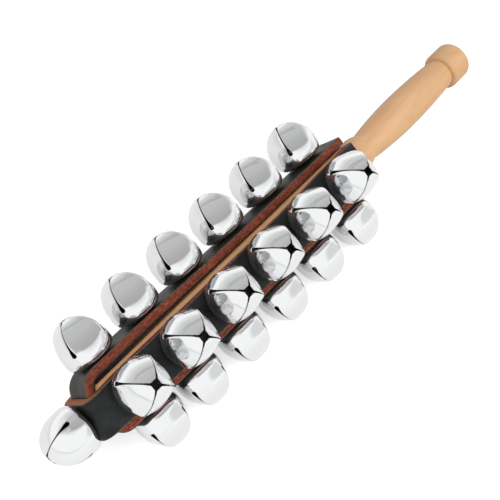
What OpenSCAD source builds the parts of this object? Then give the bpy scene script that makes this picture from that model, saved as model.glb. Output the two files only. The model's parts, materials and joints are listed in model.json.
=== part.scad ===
// Bell rattle: a wooden stick with two leather straps laid crosswise round its square core,
// four rows of jingle bells riveted through the straps, and one more bell on the tip.
// Millimetres. The stick lies along X, tip towards -X, on its right and back rows of bells.

/* [Bells] */
// Bells in each of the four rows
bells_per_row = 6; // [4:1:6]
// Distance between neighbouring bells of a row
bell_pitch = 34; // [34:0.5:38]
// How far the left row sits nearer to the tip than the front row
left_shift = 1; // [0:0.2:2]
// How far the right row sits nearer to the handle than the front row
right_shift = 2.2; // [0:0.2:2.4]
// How far the first bell of the right row sits nearer still to the handle
right_first_shift = 3.2; // [0:0.2:3.2]
// How far the bells of the right row are turned on their rivets, in degrees
right_spin = 9; // [0:1:15]
// How far the tip bell is turned on its screw, in degrees
tip_spin = -9; // [-15:1:0]
// Width of a bell across its four flat petals
bell_flat = 27.4; // [26:0.2:28]
// Width of a bell across its four slits
bell_corner = 30.4; // [29:0.2:30.6]
// Height of a bell's middle above its flat base
bell_seat = 10.2; // [10:0.1:10.6]
// Thickness of the bell's wall
bell_wall = 0.7; // [0.5:0.1:1]
// Width of the slits between the petals
slit_w = 0.9; // [0.6:0.1:1.2]
// How far the slits run below the bell's middle
slit_low = 0.5; // [0.5:0.5:4]
// Diameter of the round eye that ends each slit
slit_eye_d = 2.4; // [1.6:0.2:3]
// Side of the square mouth where the slits cross
mouth_side = 4.4; // [3.6:0.2:5]
// Diameter of the loose steel ball in each bell
pellet_d = 7; // [6.4:0.2:7.4]

/* [Straps] */
// Width of both straps
strap_w = 23; // [21:0.5:23.4]
// Thickness of the leather
strap_t = 4.9; // [4.6:0.1:5]
// Gap between strap and core on the front and left faces
strap_standoff = 2.2; // [2:0.1:2.4]
// Gap between strap and core on the back and right faces, where the straps are pulled tight
tight_standoff = 0.2; // [0.1:0.1:0.3]
// Gap between the end of the core and the inner strap
tip_gap = 0.8; // [0.8:0.1:1.4]
// Inside radius of the inner strap's fold at the left face
inner_fold_r = 7; // [6.5:0.5:7.5]
// Inside radius of the inner strap's fold at the right face
inner_tight_r = 4.5; // [4.5:0.1:5]
// Inside radius of the outer strap's fold at the front face
outer_fold_r = 3.5; // [3:0.5:3.5]
// Inside radius of the outer strap's fold at the back face
outer_tight_r = 1; // [0.5:0.1:1]
// Length of strap past the last bell
strap_tail = 22; // [20.5:0.5:22.5]

/* [Stick] */
// Width of the square core
core_w = 24.4; // [24:0.2:26]
// Rounding along the core's four edges
core_edge_r = 2.5; // [1.5:0.5:3]
// Rounding of the core's end at the tip
core_tip_r = 3.5; // [3.5:0.5:5]
// Core beyond the first bell, towards the tip
core_lead = 14.4; // [14:0.2:15]
// Core beyond the strap ends, towards the handle
core_tail = 1.5; // [1:0.5:2]
// Radius of the turned bead beside the core
bead_r = 10.8; // [10:0.1:11.5]
// Straight length of the bead
bead_len = 8.5; // [7:0.5:12]
// Length of the bead's rounding down to the neck
bead_fall = 7.7; // [6:0.1:9]
// Radius of the neck between bead and grip
neck_r = 9; // [8:0.1:9.4]
// Largest radius of the grip
grip_r = 11.6; // [10.5:0.1:12]
// Grip from the neck to its thickest place
grip_rise = 40.3; // [35:0.1:45]
// Grip from its thickest place to the knob
grip_fall = 43.1; // [35:0.1:45]
// Radius of the grip at the knob
grip_end_r = 9.6; // [9:0.1:10]
// Radius of the knob
knob_r = 12.3; // [11.5:0.1:13]
// Length of the knob
knob_len = 17.8; // [15:0.1:24]
// Rounding of the knob's end
knob_end_r = 3.5; // [2:0.5:6]

/* [Fastenings] */
// Diameter of the rivets and of the tip screw
rivet_d = 4; // [3.6:0.1:4.2]
// Diameter of a rivet's head inside the bell
rivet_head_d = 6; // [5.6:0.1:6]
// Thickness of a rivet's head
rivet_head_t = 1.2; // [1:0.1:1.3]
// Diameter of the burr under the strap
burr_d = 8; // [7:0.5:9]
// Thickness of the burr
burr_t = 0.8; // [0.6:0.1:0.9]
// Thickness of the rivet's clenched end below the burr
clench_t = 0.5; // [0.4:0.1:0.5]
// Length of the tip screw inside the wood
screw_bite = 22; // [16:1:30]
// Diameter of a strap tack's head
tack_head_d = 5.2; // [4.6:0.2:6]
// Height of a strap tack's domed head
tack_head_t = 1.2; // [1:0.1:1.5]
// Diameter of a strap tack's shank
tack_d = 1.6; // [1.2:0.1:2]
// Length of a strap tack inside the wood
tack_bite = 9; // [6:1:11]

/* [Hidden] */
$fn = 96;

// The rows are named as they lie in the photograph, and each is a turn about the stick.
ROWS = ["front", "left", "back", "right"];
ROW_TURN = [0, -90, 180, 90];

// Clearances: a bell turns freely between the leather and its rivet's head, and a pellet's travel
// ends short of the wall, where the petals are drawn in.
bell_play = 0.15;
bore_play = 0.1;
fold_gap = 0.3;
pellet_play = 2;
pocket_play = 0.1;
arc_steps = 12;

// A bell's ball is turned from this many straight rings below its middle and above it.
rings_below = 2;
rings_above = 4;

bell_r = bell_corner / 2;
pellet_r = pellet_d / 2;
bore_d = rivet_d + bore_play;
tack_bore_d = tack_d + bore_play;

// Heights above the stick's axis
strap_in = core_w / 2 + strap_standoff;
strap_out = strap_in + strap_t;
tight_in = core_w / 2 + tight_standoff;
tight_out = tight_in + strap_t;

// Each row's strap face, its place along the stick against the front row, and how its bells turn
ROW_OUT = [strap_out, strap_out, tight_out, tight_out];
ROW_SHIFT = [0, -left_shift, 0, right_shift];
ROW_FIRST_SHIFT = [0, 0, 0, right_first_shift];
ROW_SPIN = [0, 0, 0, right_spin];
inner_rows = [1, 3];
outer_rows = [0, 2];
tight_rows = [2, 3];

// Places along the stick, from the middle of the rows
first_x = -(bells_per_row - 1) / 2 * bell_pitch;
last_x = -first_x;
core_tip_x = first_x - core_lead;
inner_tip_x = core_tip_x - tip_gap - strap_t;
outer_tip_x = inner_tip_x - fold_gap - strap_t;
tip_bell_x = outer_tip_x - bell_play - bell_seat;
strap_end_x = last_x + strap_tail;
core_end_x = strap_end_x + core_tail;
neck_x = core_end_x + bead_len + bead_fall;
grip_mid_x = neck_x + grip_rise;
knob_x = grip_mid_x + grip_fall;
knob_end_x = knob_x + knob_len;

// A strap's end is drawn down onto the core just past the last bell and tacked there.
drop_start_x = last_x + right_shift + burr_d / 2 + 0.5;
drop_end_x = drop_start_x + 8;
tack_x = (drop_end_x + strap_end_x) / 2 - 0.5;

// The box of the whole object: its middle along X, and the axis' height over the table
mouth_top = bell_r - mouth_side / 2 * tan(45 / rings_above);
mid_x = (tip_bell_x - mouth_top + knob_end_x) / 2;
axis_z = bell_height(tight_rows[0]) * cos(45) + bell_r;

// How far a pellet can move from its bell's middle: to the wall, to the flat base under a bell
// that leans up, or to a flat petal of the tip bell
wall_reach = bell_r - bell_wall - pellet_r - pellet_play;
base_reach = (bell_seat - bell_wall - pellet_r - pellet_play) / cos(45);
petal_reach = bell_flat / 2 - bell_wall - pellet_r - pellet_play;
ROW_REACH = [base_reach, base_reach, wall_reach, wall_reach];

function row_x(row, i) = first_x + i * bell_pitch + ROW_SHIFT[row] + (i == 0 ? ROW_FIRST_SHIFT[row] : 0);
function bell_height(row) = ROW_OUT[row] + bell_play + bell_seat;
function arc(centre, r, from, to) =
    [for (i = [0:arc_steps]) centre + r * [cos(from + (to - from) * i / arc_steps),
                                           sin(from + (to - from) * i / arc_steps)]];
function mirrored(points) = [for (i = [len(points) - 1:-1:0]) [points[i].x, -points[i].y]];
function reversed(points) = [for (i = [len(points) - 1:-1:0]) points[i]];
// Radius of an arc that is l long from its crown and falls by f over that length
function crown_r(l, f) = (l * l + f * f) / (2 * f);

// Lays the stick on its right and back rows, with the origin under the middle of its box.
module lay() {
    translate([-mid_x, 0, axis_z]) rotate([45, 0, 0]) children();
}

// Puts a child on one face of the core at a place along it, with +Z away from the axis.
module on_row(row, x, height) {
    rotate([ROW_TURN[row], 0, 0]) translate([x, 0, height]) children();
}

// Puts a child on the tip, with +Z along the stick away from the handle.
module on_tip(x) {
    translate([x, 0, 0]) rotate([0, -90, 0]) children();
}

module rounded_square(w, r) {
    square([w - 2 * r, w], center = true);
    square([w, w - 2 * r], center = true);
    for (a = [-1, 1], b = [-1, 1])
        translate([a, b] * (w / 2 - r)) circle(r);
}

// The core's outline from the side, rounded at the tip
module core_side() {
    square_x = core_tip_x + core_tip_r;
    translate([square_x, -core_w / 2]) square([core_end_x - square_x, core_w]);
    translate([core_tip_x, core_tip_r - core_w / 2]) square([core_tip_r, core_w - 2 * core_tip_r]);
    for (a = [-1, 1])
        translate([square_x, a * (core_w / 2 - core_tip_r)]) circle(core_tip_r);
}

// A shape turned about the stick, from points of [radius, place along the stick]
module turned(points) {
    rotate([0, 90, 0]) rotate_extrude() polygon(points);
}

module square_core() {
    corner_r = core_w / sqrt(2);
    shoulder_x = core_end_x - core_tail;
    intersection() {
        translate([core_tip_x, 0, 0]) rotate([90, 0, 90])
            linear_extrude(core_end_x - core_tip_x) rounded_square(core_w, core_edge_r);
        linear_extrude(core_w, center = true) core_side();
        rotate([90, 0, 0]) linear_extrude(core_w, center = true) core_side();
        turned([[0, core_tip_x - 1], [corner_r, core_tip_x - 1], [corner_r, shoulder_x],
                [bead_r, core_end_x], [0, core_end_x]]);
    }
}

module turned_handle() {
    bead_arc_r = crown_r(bead_fall, bead_r - neck_r);
    rise_r = crown_r(grip_rise, grip_r - neck_r);
    fall_r = crown_r(grip_fall, grip_r - grip_end_r);
    knob_face_r = knob_r - grip_end_r;
    turned(concat(
        [[0, core_end_x - core_tail], [bead_r, core_end_x - core_tail]],
        arc([bead_r - bead_arc_r, core_end_x + bead_len], bead_arc_r, 0, asin(bead_fall / bead_arc_r)),
        arc([grip_r - rise_r, grip_mid_x], rise_r, -asin(grip_rise / rise_r), 0),
        arc([grip_r - fall_r, grip_mid_x], fall_r, 0, asin(grip_fall / fall_r)),
        arc([grip_end_r, knob_x + knob_face_r], knob_face_r, -90, 0),
        arc([knob_r - knob_end_r, knob_end_x - knob_end_r], knob_end_r, 0, 90),
        [[0, knob_end_x]]
    ));
}

// Room in the core for a rivet's end and its burr, where the strap is pulled tight
module rivet_pocket() {
    depth = burr_t + clench_t + pocket_play - tight_standoff;
    translate([0, 0, -depth]) cylinder(d = burr_d + 6 * pocket_play, h = 2 * depth);
}

module wooden_stick() {
    color("burlywood") lay() difference() {
        union() {
            square_core();
            turned_handle();
        }
        on_tip(core_tip_x + screw_bite + 1) cylinder(d = bore_d, h = screw_bite + 2);
        for (row = [0:3])
            on_row(row, tack_x, core_w / 2 - tack_bite - 1) cylinder(d = tack_bore_d, h = tack_bite + 2);
        for (row = tight_rows, i = [0:bells_per_row - 1])
            on_row(row, row_x(row, i), core_w / 2) rivet_pocket();
    }
}

// Half of a strap's outline at one face of the leather: drawn down at its end, straight along the
// core, and folded at the tip.
function strap_half(lift, height, tip_x, fold_r) = concat(
    [[strap_end_x, height - lift]],
    [for (i = [0:arc_steps]) [drop_end_x - (drop_end_x - drop_start_x) * i / arc_steps,
                              height - lift * (1 + cos(180 * i / arc_steps)) / 2]],
    arc([tip_x + fold_r, height - fold_r], fold_r, 90, 180)
);

// A strap over two rows: the first at +Y with room under it, the second at -Y pulled tight
module strap(rows, tip_x, fold_r, tight_r) {
    outside = strap_half(strap_standoff, strap_out, tip_x, fold_r + strap_t);
    inside = strap_half(strap_standoff, strap_in, tip_x + strap_t, fold_r);
    tight_outside = strap_half(tight_standoff, tight_out, tip_x, tight_r + strap_t);
    tight_inside = strap_half(tight_standoff, tight_in, tip_x + strap_t, tight_r);
    difference() {
        linear_extrude(strap_w, center = true)
            polygon(concat(outside, mirrored(tight_outside),
                           reversed(mirrored(tight_inside)), reversed(inside)));
        for (side = [0, 1], i = [0:bells_per_row - 1])
            translate([row_x(rows[side], i), 0, 0]) rotate([180 * side - 90, 0, 0])
                cylinder(d = bore_d, h = 2 * strap_out);
        translate([tack_x, 0, 0]) rotate([90, 0, 0])
            cylinder(d = tack_bore_d, h = 3 * strap_out, center = true);
        on_tip(tip_x + 2 * strap_t) cylinder(d = bore_d, h = 4 * strap_t);
    }
}

module inner_strap() {
    color([0.10, 0.10, 0.11]) lay() strap(inner_rows, inner_tip_x, inner_fold_r, inner_tight_r);
}

module outer_strap() {
    color([0.12, 0.12, 0.13]) lay() rotate([90, 0, 0])
        strap(outer_rows, outer_tip_x, outer_fold_r, outer_tight_r);
}

// A rivet seen from the leather's outer face at Z = 0: head in the bell, shank, clenched end.
module rivet() {
    head_z = bell_wall + 2 * bell_play;
    end_z = -strap_t - burr_t - clench_t;
    translate([0, 0, head_z]) cylinder(d = rivet_head_d, h = rivet_head_t);
    translate([0, 0, end_z]) cylinder(d = rivet_d, h = head_z - end_z);
    translate([0, 0, end_z]) cylinder(d = rivet_d + 2 * burr_t, h = clench_t);
}

module burr() {
    translate([0, 0, -strap_t - burr_t]) difference() {
        cylinder(d = burr_d, h = burr_t);
        translate([0, 0, -burr_t]) cylinder(d = bore_d, h = 3 * burr_t);
    }
}

// One child at each bell of the two rows that share a strap
module on_strap(rows) {
    for (row = rows, i = [0:bells_per_row - 1])
        on_row(row, row_x(row, i), ROW_OUT[row]) children();
}

module inner_strap_rivets() {
    color("gainsboro") lay() on_strap(inner_rows) rivet();
}

module outer_strap_rivets() {
    color("gainsboro") lay() on_strap(outer_rows) rivet();
}

module inner_strap_burrs() {
    color("darkgoldenrod") lay() on_strap(inner_rows) burr();
}

module outer_strap_burrs() {
    color("darkgoldenrod") lay() on_strap(outer_rows) burr();
}

module tip_screw() {
    head_z = bell_wall + 2 * bell_play;
    wood_z = outer_tip_x - core_tip_x;
    point_h = rivet_d;
    color("lightgray") lay() on_tip(outer_tip_x) {
        translate([0, 0, head_z]) cylinder(d = rivet_head_d, h = rivet_head_t);
        translate([0, 0, wood_z - screw_bite + point_h])
            cylinder(d = rivet_d, h = head_z - wood_z + screw_bite - point_h);
        translate([0, 0, wood_z - screw_bite]) cylinder(d1 = rivet_d / 4, d2 = rivet_d, h = point_h);
    }
}

// A domed tack seen from the leather's face at Z = 0
module tack() {
    dome_r = crown_r(tack_head_d / 2, tack_head_t);
    shank = strap_t + tack_bite;
    intersection() {
        translate([0, 0, tack_head_t - dome_r]) sphere(dome_r);
        cylinder(d = 2 * tack_head_d, h = tack_head_t + 1);
    }
    translate([0, 0, -shank + tack_d]) cylinder(d = tack_d, h = shank - tack_d);
    translate([0, 0, -shank]) cylinder(d1 = tack_d / 4, d2 = tack_d, h = tack_d);
}

module strap_tacks() {
    color("dimgray") lay()
        for (row = [0:3]) on_row(row, tack_x, core_w / 2 + strap_t) tack();
}

// A ball about the origin, cut flat at its base
module ball(r, base) {
    base_angle = asin(-base / r);
    angles = concat([for (i = [0:rings_below - 1]) base_angle * (1 - i / rings_below)],
                    [for (i = [0:rings_above]) 90 * i / rings_above]);
    rotate_extrude() polygon(concat([[0, -base]], [for (a = angles) r * [cos(a), sin(a)]]));
}

// A bell's round-cornered form: a ball with four sides pressed flat
module bell_form(flat, r, base) {
    intersection() {
        ball(r, base);
        cube([flat, flat, 3 * r], center = true);
    }
}

// One bell about its middle, mouth towards +Z
module bell() {
    color("silver") difference() {
        bell_form(bell_flat, bell_r, bell_seat);
        bell_form(bell_flat - 2 * bell_wall, bell_r - bell_wall, bell_seat - bell_wall);
        for (a = [45, 135]) rotate([0, 0, a]) {
            translate([-bell_corner, -slit_w / 2, -slit_low]) cube([2 * bell_corner, slit_w, bell_corner]);
            translate([0, 0, -slit_low]) rotate([0, 90, 0])
                cylinder(d = slit_eye_d, h = 2 * bell_corner, center = true);
        }
        translate([-mouth_side / 2, -mouth_side / 2, 0]) cube([mouth_side, mouth_side, bell_corner]);
        translate([0, 0, -bell_corner]) cylinder(d = bore_d, h = bell_corner);
    }
}

module row_bell(row, i) {
    lay() on_row(row, row_x(row, i), bell_height(row)) rotate(ROW_SPIN[row]) bell();
}

module tip_bell() {
    lay() on_tip(tip_bell_x) rotate(tip_spin) bell();
}

// A loose ball at the lowest place that it can reach under its bell's middle
module pellet(reach) {
    color("slategray") translate([0, 0, -reach]) sphere(d = pellet_d);
}

// The middle of a bell in a row, with the axes of the table and not of the stick
module at_row_bell(row, i) {
    a = ROW_TURN[row] + 45;
    translate([row_x(row, i) - mid_x, -bell_height(row) * sin(a), axis_z + bell_height(row) * cos(a)])
        children();
}

module row_pellet(row, i) {
    at_row_bell(row, i) pellet(ROW_REACH[row]);
}

module tip_pellet() {
    translate([tip_bell_x - mid_x, 0, axis_z]) pellet(petal_reach);
}

wooden_stick();
inner_strap();
outer_strap();
inner_strap_rivets();
outer_strap_rivets();
inner_strap_burrs();
outer_strap_burrs();
tip_screw();
strap_tacks();
tip_bell();
tip_pellet();
for (row = [0:3], i = [0:bells_per_row - 1]) {
    row_bell(row, i);
    row_pellet(row, i);
}
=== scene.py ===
"""Bell rattle: a beech stick with two crossed leather straps and twenty-five jingle bells."""
import json
import math

import bmesh
import bpy
from mathutils import Matrix, Quaternion, Vector


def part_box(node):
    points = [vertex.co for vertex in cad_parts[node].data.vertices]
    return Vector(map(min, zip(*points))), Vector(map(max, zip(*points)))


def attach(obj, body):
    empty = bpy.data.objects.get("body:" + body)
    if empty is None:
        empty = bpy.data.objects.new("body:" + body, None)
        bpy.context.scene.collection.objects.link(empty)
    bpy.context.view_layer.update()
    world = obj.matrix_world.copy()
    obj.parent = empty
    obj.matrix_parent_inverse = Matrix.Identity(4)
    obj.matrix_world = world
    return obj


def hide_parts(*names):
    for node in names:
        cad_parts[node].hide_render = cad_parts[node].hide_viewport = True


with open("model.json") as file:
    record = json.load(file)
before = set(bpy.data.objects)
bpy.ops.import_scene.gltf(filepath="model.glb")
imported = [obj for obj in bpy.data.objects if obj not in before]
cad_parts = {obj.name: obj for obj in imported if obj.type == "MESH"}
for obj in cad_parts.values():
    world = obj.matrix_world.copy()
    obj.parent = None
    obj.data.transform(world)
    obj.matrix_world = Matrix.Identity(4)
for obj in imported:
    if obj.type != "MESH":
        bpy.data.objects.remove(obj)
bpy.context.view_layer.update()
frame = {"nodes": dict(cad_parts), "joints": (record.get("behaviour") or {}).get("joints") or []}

# The stick is one piece of pale beech: a square core for the straps, then a turned handle with a bead,
# a barrel-shaped grip and a round knob. It is turned on a lathe from a square blank and sanded, and the
# handle has a thin satin coat. The core carries painted shade: a darker, more orange tone for the dim
# light between the straps, and near black on its flat faces under the straps, fading out from the tip.
MM = 0.001
core_w = 24.4 * MM
core_edge = 2.5 * MM
core_tip = 3.5 * MM
core_taper = 1.5 * MM
taper_share = 0.66
core_steps = 5
bead_r = 10.8 * MM
bead_len = 8.5 * MM
bead_fall = 7.7 * MM
neck_r = 9 * MM
grip_r = 11.6 * MM
grip_end_r = 9.6 * MM
grip_rise = 40.3 * MM
grip_fall = 43.1 * MM
knob_r = 12.3 * MM
knob_len = 17.8 * MM
knob_end_r = 3.5 * MM
arc_steps = 12
lathe_steps = 72
stick_crease = 42
beech_pale = (0.605, 0.366, 0.186, 1)
beech_dark = (0.530, 0.300, 0.140, 1)
beech_fleck = (0.47, 0.245, 0.105, 1)
# Painted shade: the core is mixed, by the share two lines down, towards this darker, more orange tone for the
# dimmer light between the straps.
core_shade_tone = (0.56, 0.285, 0.125, 1)
# Painted shade: a near-black tone for the core's flat faces under the straps, for the shade in the gaps
# there.
strap_shade_tone = (0.045, 0.020, 0.009, 1)
core_shade_share = 0.8
# Painted shade under the straps: the depths below the faces' plane where it begins and where it is full, and
# the shares of the core's length from the tip where it starts and ends fading out.
strap_shade_depths = (0.22 * MM, 0.03 * MM)
strap_shade_ends = (0.08, 0.42)

stick_low, stick_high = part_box("wooden_stick")
axis_z = (stick_low.z + stick_high.z) / 2
knob_x = stick_high.x - knob_len
grip_x = knob_x - grip_fall
neck_x = grip_x - grip_rise
core_end_x = neck_x - bead_fall - bead_len


def alone(piece):
    """Makes one piece the only selected one, and the active one."""
    bpy.ops.object.select_all(action="DESELECT")
    piece.select_set(True)
    bpy.context.view_layer.objects.active = piece


def edit(piece):
    """Opens one piece alone in edit mode, with points as what is selected."""
    alone(piece)
    bpy.ops.object.mode_set(mode="EDIT")
    bpy.ops.mesh.select_mode(type="VERT")


def pick(piece, wanted):
    """Selects the points of an opened piece that are wanted, with the edges and faces between them."""
    mesh = bmesh.from_edit_mesh(piece.data)
    for point in mesh.verts:
        point.select = wanted(point.co)
    mesh.select_flush_mode()
    bmesh.update_edit_mesh(piece.data)


def pick_edges(piece, wanted):
    """Selects the edges of an opened piece that are wanted, by their two ends."""
    bpy.ops.mesh.select_mode(type="EDGE")
    mesh = bmesh.from_edit_mesh(piece.data)
    for edge in mesh.edges:
        edge.select = wanted(*(point.co for point in edge.verts))
    mesh.select_flush_mode()
    bmesh.update_edit_mesh(piece.data)


def close(piece, name):
    """Leaves edit mode with the piece named, its doubles merged and its faces turned outwards."""
    bpy.ops.mesh.select_mode(type="VERT")
    bpy.ops.mesh.select_all(action="SELECT")
    bpy.ops.mesh.remove_doubles(threshold=0.01 * MM)
    bpy.ops.mesh.normals_make_consistent(inside=False)
    bpy.ops.object.mode_set(mode="OBJECT")
    piece.name = name
    piece.data.name = name


def finish_with(piece, kind, **settings):
    """Adds one modifier and applies it."""
    alone(piece)
    modifier = piece.modifiers.new(kind, kind)
    for name, value in settings.items():
        setattr(modifier, name, value)
    bpy.ops.object.modifier_apply(modifier=modifier.name)


def put(piece, place):
    """Moves a piece to its place and bakes that into its mesh."""
    alone(piece)
    piece.matrix_world = place
    bpy.ops.object.transform_apply(location=True, rotation=True, scale=True)


def smooth(piece, angle):
    """Shades a piece smooth, apart from edges sharper than the angle in degrees."""
    alone(piece)
    bpy.ops.object.shade_smooth_by_angle(angle=math.radians(angle))


def node_tools(tree):
    """Two functions: one adds a node, and one feeds a node's inputs, in their order or by name."""

    def feed(node, *ordered, **named):
        inputs = list(zip(node.inputs, ordered))
        inputs += [(node.inputs[name.replace("_", " ")], value) for name, value in named.items()]
        for socket, value in inputs:
            if isinstance(value, bpy.types.NodeSocket):
                tree.links.new(value, socket)
            else:
                socket.default_value = value

    def add(kind, *ordered, **named):
        node = tree.nodes.new(kind)
        for setting in [name for name in named if hasattr(node, name)]:
            setattr(node, setting, named.pop(setting))
        feed(node, *ordered, **named)
        return node

    return add, feed


def new_material(name):
    """A material, its shader, and the functions that add and feed its nodes."""
    material = bpy.data.materials.new(name)
    material.use_nodes = True
    return material, material.node_tree.nodes["Principled BSDF"], *node_tools(material.node_tree)


def tones(add, share, stops, interpolation="LINEAR"):
    """A run of colours from stop to stop, looked up by a share from 0 to 1."""
    ramp = add("ShaderNodeValToRGB", Fac=share)
    ramp.color_ramp.interpolation = interpolation
    elements = ramp.color_ramp.elements
    while len(elements) < len(stops):
        elements.new(1)
    for element, (place, tone) in zip(elements, stops):
        element.position = place
        element.color = tone
    return ramp.outputs["Color"]


def along_axis(low, high):
    """Where a piece lies between two places along the stick."""
    return lambda co: low <= co.x <= high


def extrude_along(line):
    """Extrudes what is selected from point to point of a line of places along X and up Z."""
    for before, after in zip(line, line[1:]):
        step = (after[0] - before[0], 0, after[1] - before[1])
        bpy.ops.mesh.extrude_region_move(TRANSFORM_OT_translate={"value": step})


def drop(distance, length, fall):
    """How far an arc has fallen from its crown, when it falls by that much over that length."""
    radius = (length**2 + fall**2) / (2 * fall)
    return radius - math.sqrt(radius**2 - distance**2)


shares = [i / arc_steps for i in range(1, arc_steps + 1)]
knob_face = knob_r - grip_end_r
turned_line = [(core_end_x - core_taper, 0), (core_end_x - core_taper, bead_r)]
turned_line.append((core_end_x + bead_len, bead_r))
for t in shares:
    fallen = drop(bead_fall * t, bead_fall, bead_r - neck_r)
    turned_line.append((neck_x - bead_fall * (1 - t), bead_r - fallen))
for t in shares:
    fallen = drop(grip_rise * (1 - t), grip_rise, grip_r - neck_r)
    turned_line.append((neck_x + grip_rise * t, grip_r - fallen))
for t in shares:
    fallen = drop(grip_fall * t, grip_fall, grip_r - grip_end_r)
    turned_line.append((grip_x + grip_fall * t, grip_r - fallen))
for t in shares:
    turn = math.radians(90 * t)
    shoulder = (knob_face * (1 - math.cos(turn)), knob_face * math.sin(turn))
    turned_line.append((knob_x + shoulder[0], grip_end_r + shoulder[1]))
for t in [0] + shares:
    turn = math.radians(90 * t)
    rounding = (knob_end_r * (1 - math.sin(turn)), knob_end_r * (1 - math.cos(turn)))
    turned_line.append((stick_high.x - rounding[0], knob_r - rounding[1]))
turned_line.append((stick_high.x, 0))

bpy.ops.object.select_all(action="DESELECT")
bpy.ops.mesh.primitive_plane_add(size=MM, location=(turned_line[0][0], 0, turned_line[0][1]))
handle = bpy.context.object
bpy.ops.object.transform_apply(location=True)
edit(handle)
bpy.ops.mesh.select_all(action="SELECT")
bpy.ops.mesh.merge(type="CENTER")
extrude_along(turned_line)
bpy.ops.mesh.select_all(action="SELECT")
bpy.ops.mesh.spin(steps=lathe_steps, angle=math.tau, center=(0, 0, 0), axis=(1, 0, 0))
close(handle, "handle")

bpy.ops.object.select_all(action="DESELECT")
core_len = core_end_x - core_taper - stick_low.x
core_middle = (stick_low.x + core_len / 2, 0, 0)
bpy.ops.mesh.primitive_cube_add(size=1, location=core_middle, scale=(core_len, core_w, core_w))
stick = bpy.context.object
bpy.ops.object.transform_apply(location=True, scale=True)
edit(stick)
pick_edges(stick, lambda a, b: abs(a.x - b.x) > core_len / 2)
bpy.ops.mesh.bevel(offset=core_edge, segments=core_steps, affect="EDGES")
near_tip = along_axis(stick_low.x - MM, stick_low.x + MM)
pick_edges(stick, lambda a, b: near_tip(a) and near_tip(b))
bpy.ops.mesh.bevel(offset=core_tip, segments=core_steps, affect="EDGES")
bpy.ops.mesh.select_mode(type="VERT")
pick(stick, along_axis(core_end_x - core_taper - MM, core_end_x))
bpy.ops.mesh.extrude_region_move(TRANSFORM_OT_translate={"value": (core_taper, 0, 0)})
bpy.ops.transform.resize(value=(1, taper_share, taper_share), center_override=(core_end_x, 0, 0))
close(stick, "beech_stick")
put(stick, Matrix.Rotation(math.radians(45), 4, "X"))
finish_with(stick, "BOOLEAN", object=handle, operation="UNION", solver="EXACT")
bpy.data.objects.remove(handle)
put(stick, Matrix.Translation((0, 0, axis_z)))
smooth(stick, stick_crease)

beech, shader, add, feed = new_material("beech")
place = add("ShaderNodeTexCoord").outputs["Object"]
grain_run = add("ShaderNodeMapping", Vector=place, Scale=(22, 420, 420)).outputs[0]
fleck_run = add("ShaderNodeMapping", Vector=place, Scale=(160, 1900, 1900)).outputs[0]
ring_run = add("ShaderNodeMapping", Vector=place, Scale=(30, 90, 90), Rotation=(0.5, 0.02, 0.03)).outputs[0]
grain = add("ShaderNodeTexNoise", Vector=grain_run, Scale=1, Detail=6, Roughness=0.62).outputs["Fac"]
year_rings = add("ShaderNodeTexNoise", Vector=ring_run, Scale=1, Detail=3, Roughness=0.55, Distortion=0.8)
flecks = add("ShaderNodeTexNoise", Vector=fleck_run, Scale=1, Detail=2, Roughness=0.5).outputs["Fac"]
figure = add("ShaderNodeMath", grain, 0.55, year_rings.outputs["Fac"], operation="MULTIPLY_ADD").outputs[0]
body = tones(add, figure, ((0.52, beech_dark), (0.98, beech_pale)))
fleck_mask = add("ShaderNodeMapRange", Value=flecks, From_Min=0.66, From_Max=0.8, To_Max=0.3).outputs[0]
flecked = add("ShaderNodeMix", data_type="RGBA", Factor=fleck_mask, A=body, B=beech_fleck).outputs["Result"]

along = add("ShaderNodeSeparateXYZ", Vector=place).outputs["X"]
# Painted shade: the core, up to the bead, takes the darker, more orange tone for the dimmer light between the
# straps.
core_shade_part = add("ShaderNodeMapRange", Value=along, To_Min=core_shade_share, To_Max=0)
feed(core_shade_part, From_Min=core_end_x - 2 * core_taper, From_Max=core_end_x)
core_shaded = add("ShaderNodeMix", data_type="RGBA", Factor=core_shade_part.outputs[0], A=flecked, B=core_shade_tone)
on_axis = add("ShaderNodeMapping", Vector=place, Location=(0, 0, -axis_z)).outputs[0]
squared = add("ShaderNodeMapping", Vector=on_axis, Rotation=(math.radians(-45), 0, 0)).outputs[0]
folded = add("ShaderNodeVectorMath", squared, operation="ABSOLUTE").outputs[0]
sides = add("ShaderNodeSeparateXYZ", Vector=folded).outputs
reach = add("ShaderNodeMath", sides["Y"], sides["Z"], operation="MAXIMUM").outputs[0]
# Painted shade: the flat faces under the straps go near black, full towards the tip and gone by two fifths of
# the core's length; the rounded edges keep the wood's tone.
on_face = add("ShaderNodeMapRange", Value=reach)
feed(on_face, From_Min=core_w / 2 - strap_shade_depths[0], From_Max=core_w / 2 - strap_shade_depths[1])
strap_shade_starts, strap_shade_stops = (stick_low.x + share * (core_end_x - stick_low.x) for share in strap_shade_ends)
strap_shade_part = add("ShaderNodeMapRange", Value=along, To_Min=1, To_Max=0)
feed(strap_shade_part, From_Min=strap_shade_starts, From_Max=strap_shade_stops)
strap_shade_mask = add("ShaderNodeMath", on_face.outputs[0], strap_shade_part.outputs[0], operation="MULTIPLY").outputs[0]
painted_shade_wood = add("ShaderNodeMix", data_type="RGBA", Factor=strap_shade_mask, A=core_shaded.outputs["Result"], B=strap_shade_tone)
sheen_break = add("ShaderNodeMapRange", Value=grain, To_Min=0.40, To_Max=0.56)
pores = add("ShaderNodeBump", Height=flecks, Strength=0.12, Distance=0.1 * MM)
feed(shader, Base_Color=painted_shade_wood.outputs["Result"], Roughness=sheen_break.outputs[0], Normal=pores.outputs[0])
feed(shader, Specular_IOR_Level=0.35)
stick.data.materials.append(beech)
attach(stick, "stick")
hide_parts("wooden_stick")

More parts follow.
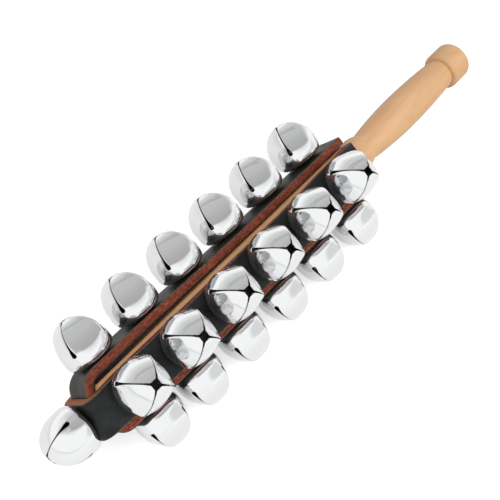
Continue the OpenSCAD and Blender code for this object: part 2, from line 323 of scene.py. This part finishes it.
# The inner strap is one length of thick bridle leather, dyed black on its grain side, its cut edges
# left raw. It lies along the left face of the core on the rivets' ends, is folded round the tip and
# comes back along the right face, pulled tight there, and its ends are drawn down onto the wood.
strap_w = 23 * MM
strap_t = 4.9 * MM
strap_rim = 0.55 * MM
tail_len = 7.3 * MM
tail_rise = 0.4
bend_len = 12 * MM
bend_steps, run_steps, fold_steps, tip_steps, width_steps = 8, 40, 10, 8, 12
flared_part = 0.4
leather_crease = 40
loose_lift, tight_lift = 2.2 * MM, 0.2 * MM
inner_fold, inner_tight_fold = 7 * MM, 4.5 * MM
inner_flares = (0.6 * MM, 0.6 * MM)
inner_waist = 1
waist_end = 0.12
inner_sags = ((0.15, -0.5 * MM), (0.64, 1.4 * MM), (0.90, 1.4 * MM), (0.97, -0.2 * MM))
inner_drifts = ((0, 0), (1, 0))
on_left = Matrix.Translation((0, 0, axis_z)) @ Matrix.Rotation(math.radians(-45), 4, "X")


def strap_run(low, high, lift, fold):
    """The middle line of the leather along one face, from its tail to where its fold starts."""
    ground = core_w / 2 + strap_t / 2
    bend_x = high.x - tail_len
    turn_x = low.x + strap_t + fold
    line = []
    for i in range(bend_steps + 1):
        risen = (1 - math.cos(math.pi * i / bend_steps)) / 2
        height = ground + lift * (tail_rise + (1 - tail_rise) * risen)
        line.append((bend_x - bend_len * i / bend_steps, height))
    straight_x = line[-1][0]
    step = (straight_x - turn_x) / run_steps
    return line + [(straight_x - step * i, ground + lift) for i in range(1, run_steps + 1)]


def eased(share, places):
    """A size at a share of a strap's length from the tip, eased between the places where it is known."""
    for (before, low), (after, high) in zip(places, places[1:]):
        if share < after:
            part = max(share - before, 0) / (after - before)
            return low + (high - low) * part**2 * (3 - 2 * part)
    return places[-1][1]


def strap(name, node, loose_fold, tight_fold, flares, waist, sags, drifts):
    """A strap's sheet, drawn from one tail along the loose face, round the tip and back; its width
    is drawn in to its waist there, its long edges hang by the sags, and it strays by the drifts."""
    low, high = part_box(node)
    loose = strap_run(low, high, loose_lift, loose_fold)
    tight = [(x, -z) for x, z in reversed(strap_run(low, high, tight_lift, tight_fold))]
    fold_tops = []
    for (x, z), fold in ((loose[-1], loose_fold), (tight[0], tight_fold)):
        fold_tops.append((x, 0, z - math.copysign(fold + strap_t / 2, z)))

    bpy.ops.object.select_all(action="DESELECT")
    bpy.ops.mesh.primitive_grid_add(x_subdivisions=1, y_subdivisions=width_steps, size=1)
    sheet = bpy.context.object
    put(sheet, Matrix.LocRotScale((high.x - tail_len / 2, 0, loose[0][1]), None, (tail_len, strap_w, 1)))
    edit(sheet)
    pick(sheet, along_axis(low.x, high.x - tail_len / 2))
    extrude_along(loose)
    quarter = {"steps": fold_steps, "angle": math.radians(90), "axis": (0, 1, 0)}
    bpy.ops.mesh.spin(center=fold_tops[0], **quarter)
    tip_x = low.x + strap_t / 2
    fall = fold_tops[1][2] - fold_tops[0][2]
    extrude_along([(tip_x, fold_tops[0][2] + fall * i / tip_steps) for i in range(tip_steps + 1)])
    bpy.ops.mesh.spin(center=fold_tops[1], **quarter)
    extrude_along(tight + [(high.x, tight[-1][1])])
    for side, flare in zip((1, -1), flares):
        pick(sheet, lambda co: co.x < tip_x + strap_t / 2 and side * co.y > flared_part * strap_w)
        bpy.ops.transform.translate(
            value=(-flare, 0, 0),
            use_proportional_edit=True,
            proportional_edit_falloff="SMOOTH",
            proportional_size=strap_w / 2,
        )
    mesh = bmesh.from_edit_mesh(sheet.data)
    for point in mesh.verts:
        share = (point.co.x - low.x) / (high.x - low.x)
        height = min(max((point.co.z - fold_tops[0][2]) / (loose_fold + strap_t / 2), 0), 1)
        point.co.z -= height * eased(share, sags) * (2 * point.co.y / strap_w) ** 2
        point.co.y *= eased(share, ((0, waist), (waist_end, 1)))
        point.co.y += height * eased(share, drifts)
    bmesh.update_edit_mesh(sheet.data)
    close(sheet, name)
    return sheet


def make_strap(sheet, grain, place, node):
    """Gives a strap sheet its thickness, worn rim and materials, and puts it on the core."""
    for material in (grain, worn_rim, raw_edge):
        sheet.data.materials.append(material)
    finish_with(sheet, "SOLIDIFY", thickness=strap_t, offset=0, use_even_offset=True, material_offset_rim=2)
    worn = {"limit_method": "ANGLE", "angle_limit": math.radians(50), "material": 1}
    finish_with(sheet, "BEVEL", width=strap_rim, segments=3, **worn)
    put(sheet, place)
    smooth(sheet, leather_crease)
    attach(sheet, "stick")
    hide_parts(node)


def dyed_leather(name, deep, worn):
    """Leather with black dye and a fine pebble grain, its dye thin in clouds."""
    material, shader, add, feed = new_material(name)
    place = add("ShaderNodeTexCoord").outputs["Object"]
    pebble = add("ShaderNodeTexVoronoi", Vector=place, Scale=950, feature="SMOOTH_F1", Smoothness=0.6)
    fine = add("ShaderNodeTexNoise", Vector=place, Scale=2600, Detail=3, Roughness=0.6).outputs["Fac"]
    crease = add("ShaderNodeTexNoise", Vector=place, Scale=260, Detail=5, Roughness=0.7, Distortion=0.6)
    cloud = add("ShaderNodeTexNoise", Vector=place, Scale=85, Detail=4, Roughness=0.6).outputs["Fac"]
    dye = tones(add, cloud, ((0.35, deep), (0.70, worn)))
    wax = add("ShaderNodeMapRange", Value=cloud, To_Min=0.36, To_Max=0.64).outputs[0]
    pebbled = add("ShaderNodeMath", fine, 0.45, pebble.outputs["Distance"], operation="MULTIPLY_ADD")
    creases = add("ShaderNodeBump", Height=crease.outputs["Fac"], Strength=0.5, Distance=0.5 * MM)
    grain = add("ShaderNodeBump", Height=pebbled.outputs[0], Strength=0.35, Distance=0.12 * MM)
    feed(grain, Normal=creases.outputs[0])
    feed(shader, Base_Color=dye, Roughness=wax, Normal=grain.outputs[0], Specular_IOR_Level=0.2)
    return material


# Painted sheen: the inner strap is the same black leather as the outer, given as a lighter olive-grey copy
# for the grey sheen its faces catch at a grazing angle.
inner_sheen_leather = dyed_leather("inner_leather_painted_sheen", (0.014, 0.0132, 0.0105, 1), (0.034, 0.031, 0.024, 1))

worn_rim, shader, add, feed = new_material("worn_leather_rim")
place = add("ShaderNodeTexCoord").outputs["Object"]
scuff = add("ShaderNodeTexNoise", Vector=place, Scale=700, Detail=4, Roughness=0.65).outputs["Fac"]
rubbed = tones(add, scuff, ((0.38, (0.030, 0.018, 0.014, 1)), (0.72, (0.150, 0.070, 0.045, 1))))
feed(shader, Base_Color=rubbed, Roughness=0.55)

raw_edge, shader, add, feed = new_material("raw_leather_edge")
place = add("ShaderNodeTexCoord").outputs["Object"]
along = add("ShaderNodeMapping", Vector=place, Scale=(480, 900, 900)).outputs[0]
layers = add("ShaderNodeTexNoise", Vector=along, Scale=1, Detail=5, Roughness=0.7).outputs["Fac"]
fibres = add("ShaderNodeTexNoise", Vector=place, Scale=950, Detail=3, Roughness=0.7).outputs["Fac"]
tan = tones(add, layers, ((0.36, (0.062, 0.009, 0.003, 1)), (0.66, (0.240, 0.042, 0.013, 1))))
speck = add("ShaderNodeMapRange", Value=fibres, From_Min=0.55, From_Max=0.64, To_Max=0.7).outputs[0]
speckled = add("ShaderNodeMix", data_type="RGBA", Factor=speck, A=tan, B=(0.36, 0.115, 0.055, 1))
# Painted light: near the tip, where the straps fold, the raw edge turns lighter and more orange for the light
# it catches there.
fold_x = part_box("outer_strap")[0].x
run = add("ShaderNodeSeparateXYZ", Vector=place).outputs["X"]
fold_light = add("ShaderNodeMapRange", Value=run, To_Min=0.7, To_Max=0)
feed(fold_light, From_Min=fold_x + strap_t / 2, From_Max=fold_x + 2 * strap_t)
edge_with_fold_light = add("ShaderNodeMix", data_type="RGBA", Factor=fold_light.outputs[0], B=(0.42, 0.135, 0.052, 1))
feed(edge_with_fold_light, A=speckled.outputs["Result"])
nap = add("ShaderNodeBump", Height=fibres, Strength=0.6, Distance=0.18 * MM).outputs[0]
feed(shader, Base_Color=edge_with_fold_light.outputs["Result"], Normal=nap, Roughness=0.78, Specular_IOR_Level=0.3)

inner_folds = (inner_fold, inner_tight_fold)
inner_shape = (inner_flares, inner_waist, inner_sags, inner_drifts)
inner = strap("inner_leather", "inner_strap", *inner_folds, *inner_shape)
make_strap(inner, inner_sheen_leather, on_left, "inner_strap")

# The outer strap is a second length of the same leather, laid crosswise over the first: along the
# front face, over the inner strap's fold at the tip and back along the rear face. The screw of the
# tip bell pulls its fold in at the middle, so its edges stand out there.
outer_fold, outer_tight_fold = 3.5 * MM, 1 * MM
outer_flares = (-0.3 * MM, 2.6 * MM)
outer_waist = 0.92
outer_sags = ((0.3, 0), (0.64, 1.2 * MM), (0.90, 1.2 * MM), (0.97, 0))
outer_drifts = ((0.10, 0), (0.35, -0.8 * MM), (0.70, -0.8 * MM), (0.90, 0.6 * MM), (1, 1 * MM))
on_front = Matrix.Translation((0, 0, axis_z)) @ Matrix.Rotation(math.radians(45), 4, "X")
# The outer strap keeps the leather's own near-black; the inner strap's lighter copy holds painted sheen.
outer_grain = dyed_leather("outer_black_leather", (0.006, 0.0065, 0.0068, 1), (0.021, 0.0223, 0.0226, 1))
outer_folds = (outer_fold, outer_tight_fold)
outer_shape = (outer_flares, outer_waist, outer_sags, outer_drifts)
outer = strap("outer_leather", "outer_strap", *outer_folds, *outer_shape)
make_strap(outer, outer_grain, on_front, "outer_strap")

# Each side bell is held by a steel rivet with a flat head inside the bell, clenched over a brass
# washer on the back of its strap; the tip bell has a steel wood screw into the end grain, and a black
# tack nails each strap end to the core. They are stamped and headed parts and keep their exact shapes.
def plain_metal(name, tone, roughness):
    """A worked metal surface with fine scratches in its sheen."""
    material, shader, add, feed = new_material(name)
    place = add("ShaderNodeTexCoord").outputs["Object"]
    scratches = add("ShaderNodeTexNoise", Vector=place, Scale=1500, Detail=4, Roughness=0.6).outputs["Fac"]
    sheen = add("ShaderNodeMapRange", Value=scratches, To_Min=0.7 * roughness, To_Max=1.3 * roughness)
    feed(shader, Base_Color=tone, Metallic=1, Roughness=sheen.outputs[0])
    return material


rivet_steel = plain_metal("rivet_steel", (0.52, 0.51, 0.50, 1), 0.34)
burr_brass = plain_metal("burr_brass", (0.66, 0.46, 0.20, 1), 0.38)
black_tack = plain_metal("black_tack", (0.030, 0.030, 0.032, 1), 0.42)
for node, material in (
    ("inner_strap_rivets", rivet_steel),
    ("outer_strap_rivets", rivet_steel),
    ("tip_screw", rivet_steel),
    ("inner_strap_burrs", burr_brass),
    ("outer_strap_burrs", burr_brass),
    ("strap_tacks", black_tack),
):
    frame["nodes"][node].data.materials.clear()
    frame["nodes"][node].data.materials.append(material)

# A bell is pressed from thin brass sheet cut as a cross: four petals are bent up over a former until
# their sides meet at four slits and their tips leave a small mouth, and the bell is then plated
# bright. A round eye at the foot of each slit keeps the bent sheet from tearing.
bell_r = 15.5 * MM
bell_seat = 10.2 * MM
cup_power = 4
cup_sinks = (0.12, 0.24, 0.36, 0.48, 0.6, 0.7, 0.79, 0.87, 0.93, 0.975, 0.995)
plate_t = 0.7 * MM
bore_r = 2.3 * MM
mouth_r = 3.7 * MM
mouth_corner = 0.25 * MM
petal_cuts = 7
crown_rings = 11
mouth_round, middle_round, seat_round = 0.12, 0.72, 0.98
slit_gaps = [0.9] * 6 + [0.95, 1.05, 1.2, 1.5, 2.2, 3.1, 2.0]
mouth_flare = 1.15
mouth_sink = 0.45 * MM
petal_draw = 0.95
petal_rise = 0.1 * MM
slit_reach = 0.22
cut_edge = 0.16 * MM
bell_crease = 42
tiny = 0.02 * MM
spins = {"right": 9, "tip": -9}

bell_plate, shader, add, feed = new_material("bell_plate")
place = add("ShaderNodeTexCoord").outputs["Object"]
smudge = add("ShaderNodeTexNoise", Vector=place, Scale=130, Detail=4, Roughness=0.6).outputs["Fac"]
press = add("ShaderNodeTexNoise", Vector=place, Scale=110, Detail=2, Roughness=0.5).outputs["Fac"]
haze = add("ShaderNodeMapRange", Value=smudge, To_Min=0.04, To_Max=0.16).outputs[0]
ripple = add("ShaderNodeBump", Height=press, Strength=0.10, Distance=0.5 * MM).outputs[0]
feed(shader, Base_Color=(0.73, 0.735, 0.74, 1), Metallic=0.97, Roughness=haze, Normal=ripple)

# Painted shade: the bell's inner face is a dark, dull metal so that the slits and the mouth read dark.
bell_inner_painted_shade, shader, add, feed = new_material("bell_inner_painted_shade")
place = add("ShaderNodeTexCoord").outputs["Object"]
inside_mottle = add("ShaderNodeTexNoise", Vector=place, Scale=500, Detail=4, Roughness=0.6).outputs["Fac"]
dull = add("ShaderNodeMapRange", Value=inside_mottle, To_Min=0.35, To_Max=0.65).outputs[0]
feed(shader, Base_Color=(0.16, 0.15, 0.14, 1), Metallic=0.8, Roughness=dull)

mouth_turn = math.acos(mouth_r / bell_r)
turns = [mouth_turn * (1 - i / crown_rings) for i in range(crown_rings + 1)]
rings = [(bell_r * math.cos(turn), bell_r * math.sin(turn)) for turn in turns]
rings += [(bell_r * (1 - sink**cup_power) ** (1 / cup_power), -bell_seat * sink) for sink in cup_sinks]


def roundness(height):
    """How far a ring has gone from a square to a circle at one height from the bell's middle."""
    if height > 0:
        return middle_round + (mouth_round - middle_round) * height / bell_r
    return middle_round + (seat_round - middle_round) * height / -bell_seat


bpy.ops.object.select_all(action="DESELECT")
bpy.ops.mesh.primitive_plane_add(size=mouth_r * math.sqrt(2))
bell = bpy.context.object
edit(bell)
bpy.ops.mesh.select_all(action="SELECT")
bpy.ops.mesh.bevel(offset=mouth_corner, segments=1, affect="VERTICES")
bpy.ops.mesh.select_all(action="SELECT")
bpy.ops.mesh.delete(type="ONLY_FACE")
pick_edges(bell, lambda a, b: (a - b).length > mouth_r / 2)
bpy.ops.mesh.subdivide(number_cuts=petal_cuts)
bpy.ops.mesh.select_mode(type="VERT")
bpy.ops.mesh.select_all(action="SELECT")
bpy.ops.transform.translate(value=(0, 0, rings[0][1]))
radii = [point.co.xy.length for point in bmesh.from_edit_mesh(bell.data).verts]
evened = sum(radii) / len(radii) / max(radii)
rounded = 0
for (radius, height), (next_radius, next_height) in zip(rings, rings[1:]):
    bpy.ops.mesh.extrude_region_move(TRANSFORM_OT_translate={"value": (0, 0, next_height - height)})
    wanted = roundness(next_height)
    bpy.ops.transform.tosphere(value=1 - (1 - wanted) / (1 - rounded))
    drawn_in = (1 - rounded + rounded * evened) / (1 - wanted + wanted * evened)
    grown = drawn_in * next_radius / radius
    bpy.ops.transform.resize(value=(grown, grown, 1), center_override=(0, 0, 0))
    rounded = wanted
base_r, base_height = rings[-1]
middle_r = (base_r + bore_r) / 2
for part, fall in ((middle_r / base_r, -bell_seat - base_height), (bore_r / middle_r, 0)):
    bpy.ops.mesh.extrude_region_move(TRANSFORM_OT_translate={"value": (0, 0, fall)})
    bpy.ops.transform.resize(value=(part, part, 1), center_override=(0, 0, 0))


def at_slit(co, ring):
    """Whether a point is one of the pair beside a slit, on one ring of the outline."""
    radius, height = ring
    return abs(co.z - height) < tiny and abs(abs(co.x) - abs(co.y)) < slit_reach * radius


for ring, gap in zip(rings, slit_gaps):
    for side_x, side_y in ((1, 1), (-1, 1), (-1, -1), (1, -1)):
        pick(bell, lambda co: at_slit(co, ring) and co.x * side_x > 0 and co.y * side_y > 0)
        a, b = (point.co.copy() for point in bmesh.from_edit_mesh(bell.data).verts if point.select)
        part = gap * MM / (a - b).length
        bpy.ops.transform.resize(value=(part, part, 1), center_override=(a + b) / 2)
pick(bell, lambda co: any(at_slit(co, ring) for ring in rings[: len(slit_gaps)]))
bpy.ops.mesh.delete(type="FACE")
pick(bell, lambda co: abs(co.z - rings[0][1]) < tiny and not at_slit(co, rings[0]))
bpy.ops.transform.resize(value=(petal_draw, petal_draw, 1), center_override=(0, 0, 0))
bpy.ops.transform.translate(value=(0, 0, petal_rise))
pick(bell, lambda co: at_slit(co, rings[0]))
bpy.ops.transform.resize(value=(mouth_flare, mouth_flare, 1), center_override=(0, 0, 0))
bpy.ops.transform.translate(value=(0, 0, -mouth_sink))
close(bell, "bell")
for material in (bell_plate, bell_inner_painted_shade):
    bell.data.materials.append(material)
finish_with(bell, "SUBSURF", levels=1)
finish_with(bell, "SOLIDIFY", thickness=plate_t, offset=-1, use_even_offset=True, material_offset=1)
sheared = {"limit_method": "ANGLE", "angle_limit": math.radians(50)}
finish_with(bell, "BEVEL", width=cut_edge, segments=2, **sheared)
smooth(bell, bell_crease)

for joint in frame["joints"]:
    if "pellet" in joint["child"]:
        continue
    mouth_way = Vector(joint["axis"])
    flat_way = Vector((1, 0, 0)) if abs(mouth_way.x) < 0.5 else on_front.to_3x3() @ Vector((0, 0, 1))
    turned = Matrix((flat_way, mouth_way.cross(flat_way), mouth_way)).transposed().to_4x4()
    alone(bell)
    bpy.ops.object.duplicate()
    copy = bpy.context.object
    copy.name = joint["child"] + "_shell"
    spin = Matrix.Rotation(math.radians(spins.get(joint["child"].split("_")[0], 0)), 4, "Z")
    put(copy, Matrix.Translation(joint["pos_m"]) @ turned @ spin)
    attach(copy, joint["child"])
    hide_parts(joint["child"])
bpy.data.objects.remove(bell)

# Each bell holds one loose steel ball that makes its sound. It is cold-headed from wire and tumbled,
# so it is round and dull, and it is too large to leave by the mouth or the slits.
pellet_steel = plain_metal("pellet_steel", (0.46, 0.46, 0.45, 1), 0.3)
for name, node in frame["nodes"].items():
    if "pellet" in name:
        node.data.materials.clear()
        node.data.materials.append(pellet_steel)

# The studio is a pale sweep under one large soft lamp from the upper left and a weaker one from the
# right. The bells mirror white walls, one of them paler grey, and a dim seamed cloth overhead.
floor_span = 6
paper_level, paper_gloss = 0.62, 0.43
wall_level, wall_gloss = 0.55, 0.23

bpy.ops.object.select_all(action="DESELECT")
bpy.ops.mesh.primitive_plane_add(size=floor_span)
floor = bpy.context.object
floor.name = "floor"
paper, shader, add, feed = new_material("paper")
rays = add("ShaderNodeLightPath").outputs
glow = add("ShaderNodeMath", rays["Is Glossy Ray"], paper_gloss, operation="MULTIPLY").outputs[0]
shine = add("ShaderNodeMath", rays["Is Camera Ray"], paper_level, glow, operation="MULTIPLY_ADD").outputs[0]
feed(shader, Base_Color=(0.62, 0.62, 0.62, 1), Roughness=0.9, Specular_IOR_Level=0)
feed(shader, Emission_Color=(1, 1, 1, 1), Emission_Strength=shine)
floor.data.materials.append(paper)

world = bpy.data.worlds.new("studio")
bpy.context.scene.world = world
world.use_nodes = True
add, feed = node_tools(world.node_tree)
rays = add("ShaderNodeLightPath").outputs
straight = add("ShaderNodeMath", rays["Is Camera Ray"], rays["Is Glossy Ray"], operation="MAXIMUM").outputs[0]
through = add("ShaderNodeMath", straight, rays["Is Transmission Ray"], operation="MAXIMUM").outputs[0]
level = add("ShaderNodeMapRange", Value=through, To_Min=wall_level, To_Max=1).outputs[0]
bright = add("ShaderNodeMath", rays["Is Glossy Ray"], wall_gloss, level, operation="MULTIPLY_ADD").outputs[0]
feed(world.node_tree.nodes["Background"], Color=(1, 1, 1, 1), Strength=bright)

front_x = [joint["pos_m"][0] for joint in frame["joints"] if joint["child"].startswith("front_bell")]
rows_middle = Vector((sum(front_x) / len(front_x), 0, axis_z))


def lamp(name, way, distance, size, watts):
    """A square soft lamp that looks at the middle of the rows."""
    place = rows_middle + Vector(way).normalized() * distance
    bpy.ops.object.light_add(type="AREA", location=place)
    light = bpy.context.object
    light.name = name
    light.data.size = size
    light.data.energy = watts
    light.visible_glossy = False
    light.rotation_euler = (rows_middle - place).to_track_quat("-Z", "Y").to_euler()


lamp("key", way=(-0.5, -0.35, 1.0), distance=1.1, size=0.8, watts=6)
lamp("fill", way=(0.5, -1.0, 0.6), distance=1.2, size=0.7, watts=7.5)


def only_mirrored(card, name, level):
    """Gives a card a plain glow that nothing but the mirrors sees, and returns its nodes' tools."""
    cloth, shader, add, feed = new_material(name)
    feed(shader, Base_Color=(0, 0, 0, 1), Specular_IOR_Level=0)
    feed(shader, Emission_Color=(1, 1, 1, 1), Emission_Strength=level)
    card.name = name
    card.data.materials.append(cloth)
    card.visible_camera = False
    card.visible_diffuse = False
    card.visible_shadow = False
    card.visible_transmission = False
    return shader, add, feed


cloth_span, cloth_level = 4.6, 1.24
cloth_middle = Vector((0.35, 0.80, 1.0))
near_hem = ((-1.25, 1), (-1.0, 0.9), (-0.78, 0.40), (-0.50, 0.44))
to_back = ((0.2, 0.54), (1.0, 0.64), (2.0, 0.82), (3.0, 1))
cloth_sides = ((-1.0, 0), (-0.4, 1), (1.2, 1), (2.4, 0))
bpy.ops.mesh.primitive_plane_add(size=1, location=cloth_middle)
bpy.context.object.scale = (cloth_span, cloth_span, 1)
shader, add, feed = only_mirrored(bpy.context.object, "ceiling_cloth", cloth_level)
spot = add("ShaderNodeSeparateXYZ", Vector=add("ShaderNodeTexCoord").outputs["Object"]).outputs


def along_cloth(side, middle, greys):
    """A run of greys from one side of the cloth to the other, at places in metres."""
    share = add("ShaderNodeMath", side, 0.5, operation="ADD").outputs[0]
    stops = [((place - middle) / cloth_span + 0.5, (grey, grey, grey, 1)) for place, grey in greys]
    return tones(add, share, stops, "EASE")


hung = along_cloth(spot["Y"], cloth_middle.y, near_hem + to_back)
width = along_cloth(spot["X"], cloth_middle.x, cloth_sides)
faded = add("ShaderNodeMix", data_type="RGBA", Factor=width, A=(1, 1, 1, 1), B=hung).outputs["Result"]
feed(shader, Emission_Color=faded)

seam_size, seam_level = (1.1, 0.036, 1), 0.15
seam_place = Vector((0.43, 0.52, cloth_middle.z - 0.01))
seam_step = Vector((0.13, 0.13, 0))
seam_turn = (0, 0, math.radians(-24))
for i in range(2):
    bpy.ops.mesh.primitive_plane_add(size=1, location=seam_place + i * seam_step, rotation=seam_turn)
    bpy.context.object.scale = seam_size
    only_mirrored(bpy.context.object, "seam_%d" % (i + 1), seam_level)

wall_size = (3.2, 1.6, 1)
wall_place = (1.2, -1.6, 0.55)
wall_turn = (math.radians(90), 0, math.radians(37))
bpy.ops.mesh.primitive_plane_add(size=1, location=wall_place, rotation=wall_turn)
bpy.context.object.scale = wall_size
shader, add, feed = only_mirrored(bpy.context.object, "pale_wall", 1)
spread = add("ShaderNodeMapping", Vector=add("ShaderNodeTexCoord").outputs["Object"], Scale=(2, 2, 2))
shade = add("ShaderNodeTexGradient", Vector=spread.outputs[0], gradient_type="SPHERICAL").outputs["Fac"]
fade = add("ShaderNodeMapRange", Value=shade, From_Max=0.5, To_Min=1.22, To_Max=0.9)
fade.interpolation_type = "SMOOTHSTEP"
feed(shader, Emission_Strength=fade.outputs[0])

# The camera stands where the photographer stood: over the tip's left shoulder, looking down along
# the handle, with a short telephoto lens.
azimuth, elevation, roll = (math.radians(angle) for angle in (-44.56, 49.51, -7.51))
distance = 538.3 * MM
slide_right, slide_up = 11.1 * MM, 16.2 * MM
lens, sensor = 71.09, 36
level_way = Vector((math.sin(azimuth), -math.cos(azimuth), 0))
back = level_way * math.cos(elevation) + Vector((0, 0, math.sin(elevation)))
gaze = (-back).to_track_quat("-Z", "Y") @ Quaternion((0, 0, 1), roll)
stand = rows_middle + gaze @ Vector((slide_right, slide_up, distance))
bpy.ops.object.camera_add(location=stand, rotation=gaze.to_euler())
camera = bpy.context.object
camera.data.lens = lens
camera.data.sensor_width = sensor
camera.data.dof.use_dof = False
bpy.context.scene.camera = camera
bpy.context.scene.view_settings.view_transform = "Standard"
